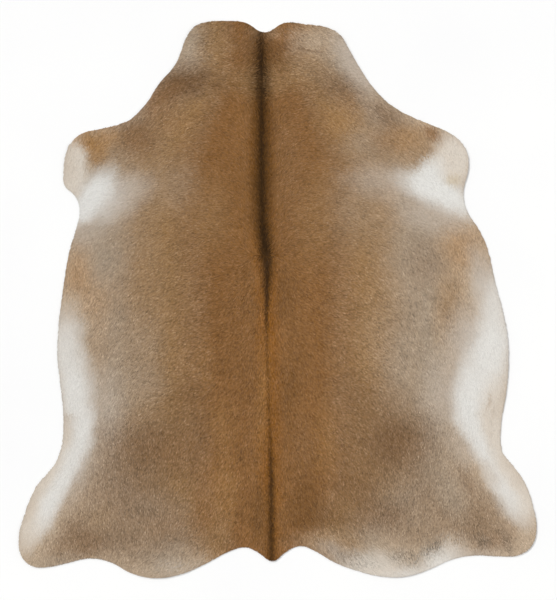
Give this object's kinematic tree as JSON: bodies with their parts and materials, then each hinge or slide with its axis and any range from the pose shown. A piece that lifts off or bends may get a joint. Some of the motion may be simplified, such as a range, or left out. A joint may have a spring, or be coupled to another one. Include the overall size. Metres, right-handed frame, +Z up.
{
  "type": "hair-on cowhide rug",
  "caption": "Whole tanned cowhide with its short hair on, laid flat as a rug: rounded neck, four leg lobes, a pointed tail root and a soft dark line of hair along the back.",
  "frame": {"origin": "on the floor at the middle of the hide's length and width", "axes": "+Z up, out of the hair side; +Y along the back towards the neck; +X to the right with the neck pointing away"},
  "size_m": [2.0402, 2.2, 0.0107],
  "materials": {
    "hide": "short brown and cream hair, lying flat, dull to satin"
  },
  "bodies": {
    "root": {"hide": "hide"}
  },
  "joints": []
}
